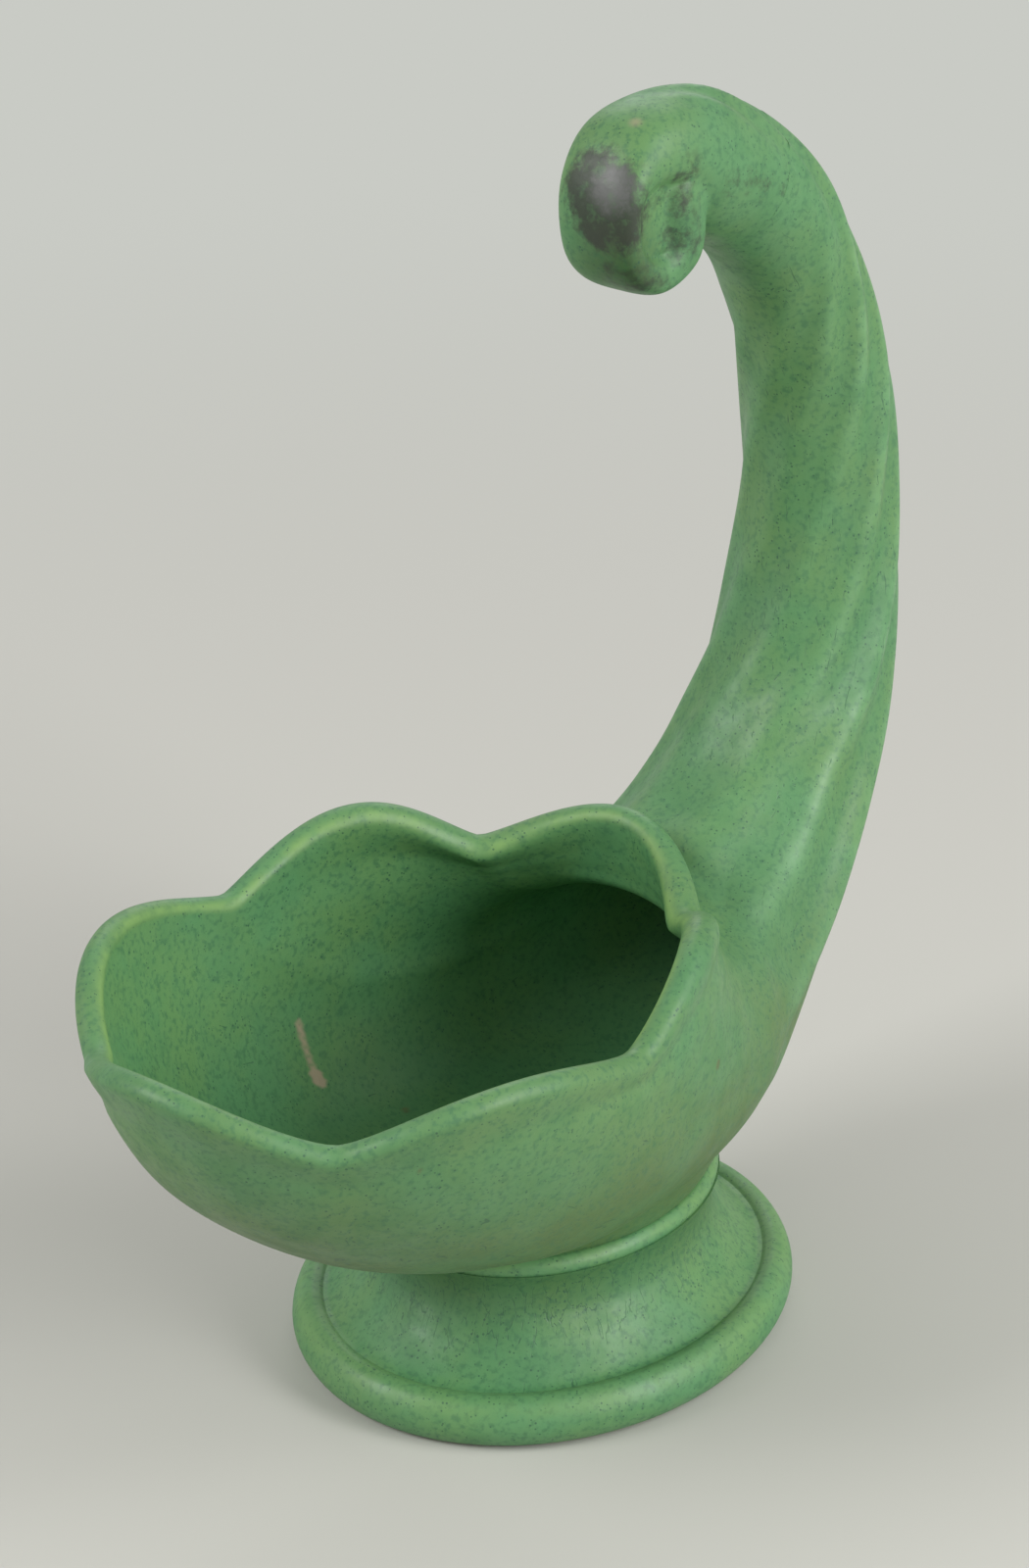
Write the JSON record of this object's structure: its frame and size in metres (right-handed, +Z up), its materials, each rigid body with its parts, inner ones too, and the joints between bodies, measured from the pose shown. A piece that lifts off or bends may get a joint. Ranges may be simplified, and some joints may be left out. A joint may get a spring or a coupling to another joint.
{
  "type": "cornucopia vase",
  "caption": "Horn-of-plenty vase with a petalled bowl, a tall fluted tail curled over into a scroll, and an oval pedestal foot, in mottled matte green glaze.",
  "frame": {"origin": "centre of the oval foot, on the table", "axes": "+Z up; +X from the mouth towards the tail; +Y to the left of that, across the vase"},
  "size_m": [0.2091, 0.1004, 0.231],
  "materials": {
    "matte_green_glaze": "matte"
  },
  "bodies": {
    "root": {"horn_bowl": "matte_green_glaze", "horn_tail": "matte_green_glaze", "tail_scroll": "matte_green_glaze", "luting_ring": "matte_green_glaze", "pedestal": "matte_green_glaze", "foot_bead": "matte_green_glaze"}
  },
  "joints": []
}
